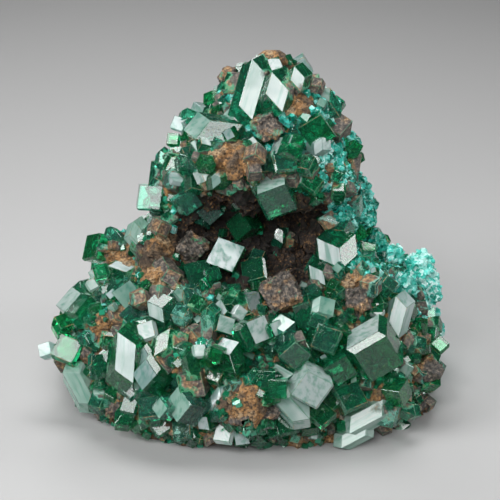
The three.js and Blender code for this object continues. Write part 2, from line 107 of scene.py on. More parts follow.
# Crystals in view: across, up, lift, width, length, lean, tip, roll, finish.
PEAK_CRYSTALS = [
    (0.3, 22.7, 1.5, 4.2, 11.4, 16, -2, 30, "pale"),
    (3.8, 22.2, 1.2, 5.2, 8.8, 16, -4, 30, "pale"),
    (3.5, 26.4, -0.4, 2.5, 3.2, 25, 35, 0, "pale"),
    (7.2, 26.2, 0.2, 2.5, 3.0, 20, 50, 10, "frost"),
    (9.4, 23.0, 0.4, 2.6, 3.2, 50, 30, 0, "druse"),
    (-4.6, 16.5, 1.4, 5.0, 10.0, -83, 4, 36, "pale"),
    (2.5, 17.6, 1.0, 3.4, 4.0, 15, 42, 0, "coat"),
    (5.4, 14.5, 1.4, 3.8, 5.4, 75, 12, 10, "pale"),
    (9.4, 17.4, 1.0, 3.8, 4.4, 20, 51, 12, "clear"),
    (9.8, 14.8, 1.0, 2.6, 4.2, 55, 5, 30, "frost"),
    (4.6, 12.3, 0.8, 4.4, 5.2, 35, 15, 0, "clear"),
    (3.7, 7.8, 3.6, 6.2, 7.4, 40, 58, 24, "pale"),
    (-6.1, 11.4, 1.0, 2.6, 5.0, 35, 0, 30, "frost"),
    (-4.5, 10.0, 1.0, 2.8, 4.6, 50, 10, 20, "pale"),
    (-10.2, 18.0, 0.7, 2.6, 3.2, -25, 40, 0, "frost"),
    (-8.0, 12.9, 0.8, 4.6, 5.6, 25, 15, 0, "clear"),
    (-9.4, 10.6, 0.7, 3.0, 3.8, 35, 10, 0, "clear"),
    (-11.2, 13.1, 0.9, 2.6, 3.2, 10, 30, 0, "film"),
    (8.2, 11.8, 0.6, 3.2, 4.4, -25, 10, 0, "film"),
    (9.0, 9.2, 0.7, 3.2, 4.0, -10, 20, 0, "clear"),
    (2.0, 25.8, -1.4, 2.2, 3.0, -30, 20, 0, "coat"),
    (5.2, 25.4, -1.4, 2.4, 3.0, 35, 20, 0, "coat"),
    (-2.5, 24.6, 0.6, 3.0, 4.4, 50, 10, 30, "coat"),
    (-2.9, 21.6, 0.4, 3.2, 4.0, 10, 20, 0, "coat"),
    (0.3, 15.3, 0.8, 1.9, 2.4, 10, 40, 0, "frost"),
    (-10.9, 15.7, 0.8, 2.4, 3.0, -40, 30, 0, "clear"),
    (-12.4, 13.0, 0.6, 2.0, 3.8, 8, 0, 30, "clear"),
    (-9.0, 19.0, 0.6, 2.2, 3.2, 60, 10, 0, "clear"),
]
FLANK_CRYSTALS = [
    (12.3, -0.7, 1.6, 5.6, 9.0, -7, -8, 8, "pale"),
    (-10.9, 8.1, 1.3, 4.0, 5.4, -14, 24, 18, "pale"),
    (-14.3, 7.5, 1.6, 4.8, 5.6, -40, 40, 0, "clear"),
    (-16.2, 2.6, 0.8, 2.6, 4.8, 18, 5, 30, "frost"),
    (-13.9, 2.4, 1.2, 2.6, 4.2, 12, 8, 24, "pale"),
    (-11.5, 4.3, 0.8, 2.5, 3.2, 5, 15, 0, "clear"),
    (12.6, 8.3, 0.9, 2.4, 3.2, -30, 10, 30, "film"),
    (13.4, 4.8, 0.8, 2.8, 3.8, -30, 10, 10, "druse"),
    (11.3, 4.0, 0.8, 3.2, 4.0, 10, 30, 0, "film"),
]
HOLLOW_CRYSTALS = [
    (-3.4, -0.9, 2.6, 6.0, 6.6, -21, 26, 0, "pale"),
    (-8.4, 0.4, 0.8, 3.4, 4.0, 0, 15, 30, "coat"),
    (-5.7, 5.7, 0.7, 2.6, 3.0, 0, 55, 0, "clear"),
    (8.0, 6.6, 0.4, 2.6, 3.4, 10, 30, 0, "coat"),
    (-7.4, -3.6, 1.0, 4.8, 5.8, 32, 22, 4, "clear"),
    (0.8, -3.4, 0.8, 4.6, 5.6, -52, 16, 10, "clear"),
]
LEFT_BAND_CRYSTALS = [
    (-24.3, -8.3, 1.6, 5.2, 7.0, 97, 4, 14, "pale"),
    (-26.0, -14.2, 1.2, 4.8, 6.0, -20, 35, 0, "clear"),
    (-28.8, -14.4, 0.6, 2.6, 3.6, -60, 20, 0, "frost"),
    (-26.8, -10.9, 0.6, 3.0, 4.4, 20, 10, 0, "clear"),
    (-24.0, -19.5, 0.9, 3.6, 8.8, -28, 0, 22, "frost"),
    (-22.6, -14.6, 1.0, 3.2, 4.8, 10, 15, 30, "coat"),
    (-20.8, -16.8, 0.8, 3.6, 5.4, 25, 10, 0, "clear"),
    (-17.6, -15.4, 1.8, 4.8, 10.6, 4, -4, 28, "pale"),
    (-19.5, -4.2, 0.9, 2.8, 3.4, 35, 40, 0, "frost"),
    (-17.3, -6.1, 1.2, 3.2, 3.8, 8, 42, 0, "pale"),
    (-20.0, -6.4, 0.6, 3.4, 4.0, 0, 30, 0, "clear"),
    (-12.7, -8.9, 1.5, 3.8, 6.2, -8, -6, 8, "pale"),
    (-14.5, -11.6, 1.0, 3.4, 4.4, -60, 30, 0, "frost"),
    (-11.6, -13.8, 1.5, 4.4, 7.0, 58, 12, 0, "film"),
    (-13.6, -17.8, 1.8, 5.0, 6.6, 38, -34, 4, "pale"),
    (-14.0, -22.7, 1.0, 4.2, 5.2, -50, 20, 0, "clear"),
    (-17.1, -22.3, 0.8, 3.0, 3.8, -30, 30, 0, "clear"),
    (-22.5, -5.0, 0.5, 2.0, 2.6, 15, 40, 0, "frost"),
    (-21.3, -3.2, 0.5, 2.6, 3.4, 30, 20, 0, "film"),
    (-19.3, -22.4, 0.6, 2.8, 3.8, -35, 10, 0, "coat"),
    (-21.3, -20.6, 0.8, 2.2, 3.6, -40, 15, 30, "frost"),
    (-17.0, -20.2, 0.7, 2.6, 3.4, 0, 30, 0, "film"),
]
FRONT_BAND_CRYSTALS = [
    (4.4, -6.2, 2.0, 6.2, 7.6, 18, 30, 0, "coat"),
    (-2.4, -7.6, 1.0, 3.6, 5.4, 82, 10, 0, "film"),
    (-7.4, -8.0, 0.9, 3.0, 4.0, -20, 15, 0, "film"),
    (-9.6, -9.6, 1.1, 3.0, 4.6, -20, 10, 0, "film"),
    (-5.9, -10.9, 1.6, 2.4, 7.2, 10, 3, 30, "film"),
    (-3.4, -10.6, 1.6, 3.4, 4.2, 60, 44, 0, "pale"),
    (0.2, -12.0, 2.2, 5.0, 6.8, 34, 14, 26, "pale"),
    (-2.8, -15.8, 1.8, 4.0, 7.0, -18, -6, 4, "pale"),
    (-4.8, -18.2, 0.9, 2.8, 3.8, -20, 20, 0, "clear"),
    (4.6, -11.9, 1.8, 3.8, 5.6, -4, -4, 4, "pale"),
    (6.2, -14.6, 2.0, 4.6, 5.6, 8, 56, 12, "clear"),
    (2.1, -18.8, 1.8, 4.8, 5.6, 45, 40, 0, "clear"),
    (8.6, -19.1, 2.2, 6.2, 7.2, -12, 56, 2, "frost"),
    (-8.1, -18.9, 1.5, 5.0, 5.8, 35, 50, 0, "film"),
    (-8.8, -22.0, 1.6, 5.6, 6.8, 32, -30, 6, "pale"),
    (-9.6, -25.7, 0.9, 3.6, 4.6, -50, 35, 0, "film"),
    (-12.8, -25.3, 0.8, 3.0, 3.8, 10, 35, 0, "clear"),
    (-3.6, -26.4, 0.9, 3.4, 4.4, -35, 25, 0, "frost"),
    (-1.2, -26.7, 1.0, 3.0, 3.6, 35, 40, 0, "pale"),
    (-4.2, -21.3, 1.2, 2.8, 5.0, 38, 8, 0, "frost"),
    (-1.4, -23.6, -2.2, 3.2, 4.0, -20, 30, 0, "coat"),
    (2.6, -22.8, 1.0, 3.4, 4.2, 20, 30, 0, "coat"),
    (6.0, -22.4, 1.6, 3.6, 8.0, -42, 4, 22, "frost"),
    (5.2, -25.0, 0.9, 4.0, 5.0, 30, 20, 0, "clear"),
    (10.2, -23.8, 0.9, 4.2, 5.2, 0, 20, 0, "clear"),
    (10.2, -8.4, 1.6, 3.4, 5.0, 58, 20, 0, "frost"),
    (10.8, -12.6, 1.8, 4.8, 5.8, -25, 40, 0, "clear"),
    (-7.3, -14.5, 1.4, 2.4, 3.2, 40, 30, 0, "frost"),
    (-1.7, -9.0, 1.2, 2.4, 3.2, 80, 25, 0, "frost"),
]
RIGHT_BAND_CRYSTALS = [
    (17.9, -14.0, 3.4, 7.8, 9.8, 120, 26, 30, "pale"),
    (21.0, -9.6, 1.4, 3.4, 8.2, 15, 0, 26, "frost"),
    (20.1, -5.3, 0.9, 2.6, 3.8, 20, 5, 30, "frost"),
    (22.2, -4.8, 0.8, 2.8, 4.8, 12, 0, 0, "druse"),
    (15.4, -6.9, 1.6, 4.4, 5.2, 38, 42, 0, "coat"),
    (24.2, -14.0, 1.0, 3.2, 4.0, 0, 40, 0, "coat"),
    (25.6, -17.0, 1.2, 4.0, 5.0, 10, 30, 0, "coat"),
    (27.1, -13.6, 0.6, 2.6, 3.4, 0, 30, 0, "film"),
    (20.9, -18.9, 1.0, 3.0, 4.2, 35, 25, 0, "frost"),
    (16.6, -23.8, 1.4, 3.6, 9.0, 62, 0, 24, "frost"),
    (14.2, -21.3, 1.2, 5.0, 6.0, 20, 20, 0, "clear"),
    (12.6, -16.8, 1.2, 4.8, 6.0, 30, 46, 24, "clear"),
    (21.4, -24.9, 0.6, 3.0, 3.6, 0, 30, 0, "film"),
    (23.4, -21.8, 0.8, 3.0, 4.4, 50, 10, 0, "coat"),
    (24.2, -2.2, 0.8, 3.2, 3.8, 20, 30, 0, "druse"),
    (20.6, -0.6, 0.6, 2.6, 3.2, 40, 30, 0, "druse"),
    (18.4, -9.0, 0.8, 1.7, 2.4, -10, 30, 0, "frost"),
    (19.8, -2.9, 0.8, 2.8, 3.6, 60, 30, 0, "clear"),
    (25.7, -19.0, 0.7, 2.4, 4.0, 50, 15, 0, "film"),
]

# Crystals on the sides and back, in rings: height, how many, smallest and largest width.
REAR_RINGS = [
    (4.0, 8, 4.2, 7.4),
    (10.5, 7, 4.0, 7.6),
    (17.0, 6, 3.8, 6.6),
    (23.5, 5, 3.6, 6.2),
    (30.0, 4, 3.4, 5.8),
    (36.5, 3, 3.2, 5.2),
    (42.0, 2, 3.0, 4.6),
]
# Bearings of a ring's first and last crystal, in degrees from the right, round the back.
REAR_FROM = 3
REAR_TO = 173
# How much a crystal strays from its bearing (degrees) and its height (mm).
REAR_TURN_SCATTER = 8
REAR_HEIGHT_SCATTER = 3.4
# How far a ring's middle lies behind the target, and in metres, how far out its rays start.
REAR_MIDDLE = 2
REAR_START = 0.1
REAR_STAND_OFF = 1.5
# Crystal numbers kept for each ring.
REAR_NUMBERS = 16
# How strongly widths lean to the small end. Lean and drift are in degrees.
REAR_SMALL_BIAS = 1.6
REAR_LENGTH = (1.1, 1.5)
REAR_LEAN = (-15, 75)
REAR_DRIFT = (-35, 35)
REAR_FINISHES = ("clear", "pale", "clear", "film", "coat")
# Crystals up to this bearing grow in the druse and carry it.
DRUSY_UP_TO = math.radians(48)
# Heights that part the crystals of the band, the flank and the peak.
BAND_TOP = 19.6
HOLLOW_ROOF = 29.4

# Places where the bare matrix shows: across, up, radius. Few crystals grow there.
BARE_PATCHES = [
    (3.9, 27.8, 1.6),
    (-2.4, 24.4, 2.0),
    (6.8, 20.8, 2.6),
    (-2.6, 12.8, 3.2),
    (-9.6, 15.4, 1.4),
    (-12.4, 0.2, 2.2),
    (-16.6, -1.6, 3.6),
    (-13.0, -4.6, 1.6),
    (-20.6, -11.2, 1.6),
    (-0.4, -21.8, 2.6),
    (14.6, -4.6, 2.0),
    (18.6, -20.4, 2.0),
    (22.4, -22.6, 2.2),
    (27.6, -15.8, 1.4),
]
BARE_EDGE = (0.75, 1.15)
BARE_LOSS = 0.88
HOLLOW_LOSS = 0.92
# The dark hollow as seen: across and up of its middle, half width and half height.
HOLLOW = (0.4, 1.6, 11.8, 7.2)
HOLLOW_EDGE = (0.6, 1.3)
# Where it begins and ends in depth.
HOLLOW_FRONT_Y = -13.0
HOLLOW_BACK_Y = 6.0
# Where the druse fades in, across and up on the right flank, and where it ends at the peak.
DRUSE_ACROSS = (8.8, 11.5)
DRUSE_UP = (-5, -1)
DRUSE_TOP = (21.5, 24.5)
BACK_DRUSE = 0.8
# The lower edge of the druse at the right foot: a point across and up on it, and its slope.
FOOT_DRUSE = (16.0, -1.0, 0.875)
FOOT_DRUSE_EDGE = (-2.0, 1.5)

# Crystals that fill the room between the large ones: widths, lengths for their width, how many
# places are tried, how near they stand, how far up, and each finish's share.
FILLER_SEED = 7
FILLER_WIDTHS = (1.2, 3.2)
FILLER_SMALL_BIAS = 1.8
FILLER_LENGTHS = (1.15, 1.35, 1.6, 1.9, 2.3)
FILLER_TRIES = 30000
FILLER_SPACING = 0.37
FILLER_TOP = 45
FILLER_FINISHES = {"clear": 0.54, "pale": 0.10, "frost": 0.04, "film": 0.22, "coat": 0.10}
# The chance that a filler is left out in the hollow and in the druse.
HOLLOW_GAP = 0.995
DRUSE_GAP = 0.97
# Small crystals and fine druse, by name: the rock's mark, how many per square mm, sizes, seed.
SMALL_GROWTH = {
    "small_crystals": ("room", 0.36, (0.5, 1.2), 21),
    "fine_druse": ("druse", 2.3, (0.5, 1.1), 31),
}
SMALL_LENGTHS = (1.1, 1.3, 1.7)
SMALL_LEAN = 0.9
SMALL_TURN = 3.1

ROCK_GROWTH = 1.15
ROCK_VOXEL = 0.32
CRUST_VOXEL = 0.2
# Reliefs: pattern, its size and its strength in mm.
HOLLOW_RELIEF = "hollow_relief"
ROCK_RELIEF = [
    ("CLOUDS", 3.2, 2.4, ""),
    ("VORONOI", 1.6, 1.4, ""),
    ("VORONOI", 2.4, 3.0, HOLLOW_RELIEF),
    ("CLOUDS", 1.1, 2.6, HOLLOW_RELIEF),
    ("CLOUDS", 0.7, 0.9, ""),
]
CRUST_RELIEF = {
    "druse": [("CLOUDS", 1.6, 1.3), ("VORONOI", 0.9, 1.1)],
    "coat": [("CLOUDS", 2.2, 1.5)],
}
FINE_RELIEF = [("CLOUDS", 0.6, 0.5), ("VORONOI", 0.5, 0.3)]
# How near to a cut a corner counts as on it, in metres.
CUT_TOLERANCE = 1e-6
# The rock's tip, narrowed after it has swollen, and how softly it stays within the solids' box.
TIP_FROM = 42.5
TIP_HEIGHT = 7.0
TIP_MIDDLE = (3.4, 3.4)
TIP_NARROWING = 0.6
EASE = 1.3
# Steps that scatter numbers evenly from 0 to 1, one for each use.
SERIES = (0.6180339887, 0.7548776662, 0.5698402910, 0.8191725134, 0.6710436067)


def scatter(item, series):
    """An evenly scattered number from 0 to 1 for the given crystal."""
    return ((item + 1) * SERIES[series]) % 1


def between(low, high, share):
    return low + (high - low) * share


def make_active(piece):
    bpy.ops.object.select_all(action="DESELECT")
    piece.select_set(True)
    bpy.context.view_layer.objects.active = piece


def apply_modifiers(piece):
    make_active(piece)
    for modifier in list(piece.modifiers):
        bpy.ops.object.modifier_apply(modifier=modifier.name)


def join_pieces(pieces, name):
    make_active(pieces[0])
    for piece in pieces:
        piece.select_set(True)
    bpy.ops.object.join()
    pieces[0].name = name
    return pieces[0]


def copy_of(piece):
    """A copy of a piece, with a mesh of its own."""
    copied = piece.copy()
    copied.data = piece.data.copy()
    bpy.context.scene.collection.objects.link(copied)
    return copied


def seen_at(points):
    """Where points lie in the picture plane: across and up, in millimetres."""
    offset = np.asarray(points) - np.array(VIEWPOINT)
    depth = -offset @ np.array(SIGHT_TOWARDS)
    across = offset @ np.array(SIGHT_RIGHT) / depth * SIGHT_DISTANCE
    up = offset @ np.array(SIGHT_UP) / depth * SIGHT_DISTANCE
    return across / MM, up / MM


def crystal_ends(width, length, stubby):
    """A crystal's rhombohedral faces: outward direction and distance from its centre."""
    reach = width / 2 if stubby else math.cos(RHOMBOHEDRON_TILT) * length / 2
    for side in range(3):
        turn = math.radians(HALF_SIDE + THIRD_TURN * side)
        slant = math.sin(RHOMBOHEDRON_TILT)
        out = Vector((slant * math.cos(turn), slant * math.sin(turn), math.cos(RHOMBOHEDRON_TILT)))
        yield out, reach
        yield -out, reach


def model_crystal(width, length, wear=EDGE_WEAR):
    """One upright crystal at the origin: a hexagonal prism, larger than it, cut to its end faces."""
    stubby = width < STUBBY_WIDTH and length < STUBBY_LENGTH * width
    radius = 2 * width if stubby else width / 2 / math.cos(math.radians(HALF_SIDE))
    depth = 3 * width if stubby else 1.3 * length
    bpy.ops.object.select_all(action="DESELECT")
    bpy.ops.mesh.primitive_cylinder_add(vertices=6, radius=radius * MM, depth=depth * MM)
    crystal = bpy.context.active_object
    bpy.ops.object.mode_set(mode="EDIT")
    for out, reach in crystal_ends(width, length, stubby):
        bpy.ops.mesh.select_all(action="SELECT")
        bpy.ops.mesh.bisect(plane_co=out * reach * MM, plane_no=out, use_fill=True, clear_outer=True)
    bpy.ops.object.mode_set(mode="OBJECT")
    if wear:
        crystal.data.materials.append(FINISHES["clear"])
        crystal.data.materials.append(EDGE_FINISH)
        bevel = crystal.modifiers.new("worn_edges", "BEVEL")
        bevel.width = wear * MM
        bevel.segments = 1
        bevel.material = 1
        apply_modifiers(crystal)
    return crystal


def set_values(mesh, name, values):
    layer = mesh.attributes.new(name, "FLOAT", "POINT")
    layer.data.foreach_set("value", np.asarray(values, dtype=np.float32))


def foot_film_and_shade(places, rock_tree):
    """The extra film at a crystal's foot, iron stain with painted shade where it meets the rock, by how
    near the rock each of its corners is.
    """
    extra = []
    for place in places:
        near, normal, _, _ = rock_tree.find_nearest(Vector(place))
        height = (Vector(place) - near).dot(normal) / MM
        extra.append(FOOT_FILM_AND_SHADE * min(1, max(0, 1 - (height - FOOT_FILM_FROM) / FOOT_FILM_REACH)))
    return np.array(extra)


def paint_reflection_face(mesh):
    """Gives the etched finish, with its painted reflection of the lamps, to the large face that looks most
    towards them.
    """
    least = LARGE_FACE * max(face.area for face in mesh.polygons)
    large = [face for face in mesh.polygons if face.area > least]
    best = max(large, key=lambda face: face.normal.dot(PAINTED_REFLECTION_FACING))
    mesh.materials.append(FINISHES["frost"])
    best.material_index = len(mesh.materials) - 1


def place_crystal(crystal, centre, axis, facing, roll, finish, item, rock_tree):
    """Turns a crystal's long axis to axis and a side to facing, and gives it its finish."""
    upright = axis.normalized()
    side = facing - upright * facing.dot(upright)
    if side.length < 1e-3:
        side = SIGHT_UP - upright * SIGHT_UP.dot(upright)
    side = Matrix.Rotation(math.radians(roll - HALF_SIDE), 3, upright) @ side.normalized()
    other = upright.cross(side)
    turn = Matrix((side, other, upright)).transposed().to_4x4()
    mesh = crystal.data
    count = len(mesh.vertices)
    places = np.empty(count * 3, dtype=np.float32)
    mesh.vertices.foreach_get("co", places)
    grain = mesh.attributes.new("grain", "FLOAT_VECTOR", "POINT")
    shift = np.array([scatter(item, 0), scatter(item, 1), scatter(item, 2)]) * GRAIN_SPREAD
    grain.data.foreach_set("vector", (places.reshape(-1, 3) / MM + shift).astype(np.float32).ravel())
    set_values(mesh, "tone", np.full(count, scatter(item, 3)))
    mesh.materials[0] = FINISHES[finish]
    if finish not in ("film", "coat") and scatter(item, 2) > TAN_EDGED:
        mesh.materials[1] = FINISHES[finish]
    mesh.transform(Matrix.Translation(centre) @ turn)
    mesh.update()
    # Film cover by finish, and more near the rock: painted shade at the foot as well as iron film.
    set_values(mesh, "soil_and_shade", FILM_COVER[finish] + foot_film_and_shade([v.co for v in mesh.vertices], rock_tree))
    # A pale crystal's face towards the lamps gets a painted reflection in the etched finish.
    if finish == "pale":
        paint_reflection_face(mesh)
    return crystal


def sight_point(rock_tree, across, up, lift):
    """Where a line of sight meets the rock, moved towards the viewer by the lift and the stand-off."""
    aim = SIGHT_TARGET + SIGHT_RIGHT * across * MM + SIGHT_UP * up * MM
    direction = (aim - VIEWPOINT).normalized()
    hit, _, _, distance = rock_tree.ray_cast(VIEWPOINT, direction)
    if hit is None:
        middle = Vector((AXIS_X * MM + SIGHT_TARGET.x, SIGHT_TARGET.y, SIGHT_TARGET.z))
        distance = (middle - VIEWPOINT).dot(direction)
    return VIEWPOINT + direction * (distance - (lift + STAND_OFF) * MM)


def viewed_crystals(rows, rock_tree, first):
    """The crystals of a table, placed in the picture plane and numbered from first."""
    made = []
    for item, (across, up, lift, width, length, lean, tip, roll, finish) in enumerate(rows, first):
        centre = sight_point(rock_tree, across, up, lift)
        nearness = (centre - VIEWPOINT).length / SIGHT_DISTANCE
        lean, tip = math.radians(lean), math.radians(tip)
        axis = (SIGHT_RIGHT * math.sin(lean) + SIGHT_UP * math.cos(lean)) * math.cos(tip)
        axis += SIGHT_TOWARDS * math.sin(tip)
        crystal = model_crystal(width * nearness, length * nearness)
        if finish in ("coat", "druse"):
            crust_over(crystal, finish)
        place_crystal(crystal, centre, axis, SIGHT_TOWARDS, roll, finish, item, rock_tree)
        made.append(crystal)
        twinned = TWIN_FROM <= width < TWIN_TO and scatter(item, 4) < TWIN_SHARE
        if twinned and finish in ("clear", "pale", "frost"):
            made.append(parallel_growth(centre, axis, width, length, roll, finish, item, rock_tree))
    return made


def parallel_growth(centre, axis, width, length, roll, finish, item, rock_tree):
    """A smaller crystal grown beside a large one, with its faces parallel to it."""
    share = between(*TWIN_SIZE, scatter(item, 1))
    turn = 2 * math.pi * scatter(item, 2)
    aside = SIGHT_RIGHT * math.cos(turn) + SIGHT_UP * math.sin(turn)
    aside = (aside - axis * aside.dot(axis)).normalized() * width * TWIN_ASIDE
    along = axis * length * TWIN_ALONG * (1 if scatter(item, 0) > 0.5 else -1)
    crystal = model_crystal(width * share, length * share)
    place = centre + (aside + along - SIGHT_TOWARDS * TWIN_BACK) * MM
    return place_crystal(crystal, place, axis, SIGHT_TOWARDS, roll, finish, item, rock_tree)


def rear_crystals(ring, rock_tree):
    """The crystals of one ring on the sides and back, each leaning out from the rock."""
    height, count, small, large = REAR_RINGS[ring]
    made = []
    for i in range(count):
        item = ring * REAR_NUMBERS + i
        step = (REAR_TO - REAR_FROM) / max(count - 1, 1)
        turn = math.radians(REAR_FROM + step * i + REAR_TURN_SCATTER * (scatter(item, 0) - 0.5))
        level = height + REAR_HEIGHT_SCATTER * (scatter(item, 1) - 0.5)
        out = Vector((math.cos(turn), math.sin(turn), 0))
        middle = Vector((AXIS_X * MM + SIGHT_TARGET.x, SIGHT_TARGET.y + REAR_MIDDLE * MM, level * MM))
        hit, _, _, _ = rock_tree.ray_cast(middle + out * REAR_START, -out)
        width = between(small, large, scatter(item, 2) ** REAR_SMALL_BIAS)
        length = width * between(*REAR_LENGTH, scatter(item, 3))
        lean = math.radians(between(*REAR_LEAN, scatter(item, 4)))
        bearing = turn + math.radians(between(*REAR_DRIFT, scatter(item, 3)))
        axis = Vector((math.cos(bearing), math.sin(bearing), 0)) * math.cos(lean)
        axis += Vector((0, 0, math.sin(lean)))
        crystal = model_crystal(width, length)
        centre = hit + out * REAR_STAND_OFF * MM
        finish = REAR_FINISHES[int(len(REAR_FINISHES) * scatter(item, 4))]
        if turn < DRUSY_UP_TO:
            finish = "druse"
            crust_over(crystal, finish)
        facing = Vector((0, 0, 1))
        place_crystal(crystal, centre, axis, facing, 60 * scatter(item, 1), finish, item, rock_tree)
        made.append(crystal)
    return made


def keep_in_box(piece):
    """Trims a piece to the solids' box, flat at the foot."""
    for axis in range(3):
        for corner, side in zip(CAD_BOX, (-1, 1)):
            edge = Vector((0, 0, 0))
            edge[axis] = corner[axis]
            out = Vector((0, 0, 0))
            out[axis] = side
            make_active(piece)
            bpy.ops.object.mode_set(mode="EDIT")
            bpy.ops.mesh.select_all(action="SELECT")
            cut = {"use_fill": True, "clear_outer": True, "threshold": CUT_TOLERANCE}
            bpy.ops.mesh.bisect(plane_co=edge, plane_no=out, **cut)
            bpy.ops.object.mode_set(mode="OBJECT")


def crust_over(crystal, finish):
    """Roughens a crystal that an iron crust or the fine druse covers all over."""
    remesh = crystal.modifiers.new("even_faces", "REMESH")
    remesh.mode = "VOXEL"
    remesh.voxel_size = CRUST_VOXEL * MM
    apply_modifiers(crystal)
    for kind, size, strength in CRUST_RELIEF[finish] + FINE_RELIEF:
        displace(crystal, kind, size, strength)


def displace(piece, kind, size, strength, only=""):
    """Raises and lowers a surface by a cloud or cell pattern, all over or in one vertex group."""
    texture = bpy.data.textures.new(f"{piece.name}_{kind.lower()}", kind)
    texture.noise_scale = size * MM
    modifier = piece.modifiers.new("relief", "DISPLACE")
    modifier.texture = texture
    modifier.texture_coords = "LOCAL"
    modifier.strength = strength * MM
    modifier.mid_level = 0.5
    modifier.vertex_group = only
    apply_modifiers(piece)


def shape_to_box(rock):
    """Eases the grown rock back inside the solids' box, keeps its foot flat and narrows its tip."""
    count = len(rock.data.vertices)
    places = np.empty(count * 3)
    rock.data.vertices.foreach_get("co", places)
    places = places.reshape(-1, 3)
    rise = np.clip((places[:, 2] / MM - TIP_FROM) / TIP_HEIGHT, 0, 1)
    for axis in (0, 1):
        places[:, axis] += (TIP_MIDDLE[axis] * MM - places[:, axis]) * rise * TIP_NARROWING
    for axis in range(3):
        for side, edge in ((-1, CAD_BOX[0][axis]), (1, CAD_BOX[1][axis])):
            if axis == 2 and side < 0:
                continue
            start = edge * side - EASE * MM
            past = np.maximum(places[:, axis] * side - start, 0)
            eased = start + EASE * MM * (1 - np.exp(-past / (EASE * MM)))
            places[:, axis] = np.where(past > 0, eased * side, places[:, axis])
    places[:, 2] = np.maximum(places[:, 2], 0)
    rock.data.vertices.foreach_set("co", places.ravel())
    rock.data.update()


def surface_points(piece):
    """Where a piece's vertices are and which way they face."""
    count = len(piece.data.vertices)
    places = np.empty(count * 3)
    piece.data.vertices.foreach_get("co", places)
    normals = np.empty(count * 3)
    piece.data.vertices.foreach_get("normal", normals)
    return places.reshape(-1, 3), normals.reshape(-1, 3)


def smooth_step(low, high, values):
    share = np.clip((values - low) / (high - low), 0, 1)
    return share * share * (3 - 2 * share)


def hollow_share(places):
    """How far a point lies within the dark hollow, from 0 to 1."""
    across, up = seen_at(places)
    middle_across, middle_up, half_width, half_height = HOLLOW
    ring = ((across - middle_across) / half_width) ** 4 + ((up - middle_up) / half_height) ** 4
    inside = (places[:, 1] > HOLLOW_FRONT_Y * MM) * (places[:, 1] < HOLLOW_BACK_Y * MM)
    return (1 - smooth_step(*HOLLOW_EDGE, ring)) * inside


def druse_share(places, normals):
    """How thickly the druse grows at a point: on the right flank, its foot and the back."""
    across, up = seen_at(places)
    flank = smooth_step(*DRUSE_ACROSS, across) * smooth_step(*DRUSE_UP, up)
    edge_across, edge_up, slope = FOOT_DRUSE
    foot = smooth_step(*FOOT_DRUSE_EDGE, (across - edge_across) + (up - edge_up) * slope)
    side = smooth_step(0.0, 0.5, normals[:, 0]) * smooth_step(-6 * MM, 0, places[:, 1])
    back = smooth_step(0.1, 0.6, normals[:, 1]) * BACK_DRUSE
    front = normals[:, 1] < 0.2
    below_peak = 1 - smooth_step(*DRUSE_TOP, up)
    return np.maximum.reduce([flank * front, foot * front, side, back]) * below_peak


def model_rock(solid_rock):
    """The matrix: the solid's own shape, grown to the foot of the crystals, with a crusty relief."""
    rock = copy_of(solid_rock)
    rock.name = "rock"
    make_active(rock)
    bpy.ops.object.mode_set(mode="EDIT")
    bpy.ops.mesh.select_all(action="SELECT")
    bpy.ops.mesh.remove_doubles(threshold=0.01 * MM)
    bpy.ops.object.mode_set(mode="OBJECT")
    remesh = rock.modifiers.new("even_faces", "REMESH")
    remesh.mode = "VOXEL"
    remesh.voxel_size = ROCK_VOXEL * MM
    swell = rock.modifiers.new("swell", "DISPLACE")
    swell.strength = ROCK_GROWTH * MM
    swell.mid_level = 0
    apply_modifiers(rock)
    group = rock.vertex_groups.new(name=HOLLOW_RELIEF)
    places, _ = surface_points(rock)
    for vertex, share in enumerate(hollow_share(places)):
        if share > 0.01:
            group.add([vertex], share, "REPLACE")
    for kind, size, strength, only in ROCK_RELIEF:
        displace(rock, kind, size, strength, only)
    shape_to_box(rock)
    return rock


def mark_rock(rock, crystals):
    """Marks on the rock: the dark hollow, the room for small crystals, and where fine druse grows."""
    places, normals = surface_points(rock)
    across, up = seen_at(places)
    facing = normals @ np.array(SIGHT_TOWARDS) > -0.1
    hollow = hollow_share(places)
    bare = np.zeros(len(places))
    for patch_across, patch_up, radius in BARE_PATCHES:
        away = np.hypot(across - patch_across, up - patch_up) / radius
        bare = np.maximum(bare, (1 - smooth_step(*BARE_EDGE, away)) * facing)
    room = 1 - BARE_LOSS * bare
    for centre, reach in crystals:
        room[np.linalg.norm(places - np.array(centre), axis=1) < reach] = 0
    druse = druse_share(places, normals) * (1 - hollow) * (1 - bare)
    # The hollow mark also tells the rock material where to paint shade.
    set_values(rock.data, "hollow", hollow)
    set_values(rock.data, "room", room * (1 - HOLLOW_LOSS * hollow))
    set_values(rock.data, "druse", druse)
    return places, normals, room, hollow, druse


def crystal_reach(piece):
    """A crystal's centre and a little less than its mean radius, to keep small ones out of it."""
    corners = [Vector(corner) for corner in piece.bound_box]
    centre = sum(corners, Vector()) / 8
    size = corners[6] - corners[0]
    return centre, (size.x + size.y + size.z) / 6 * 0.85


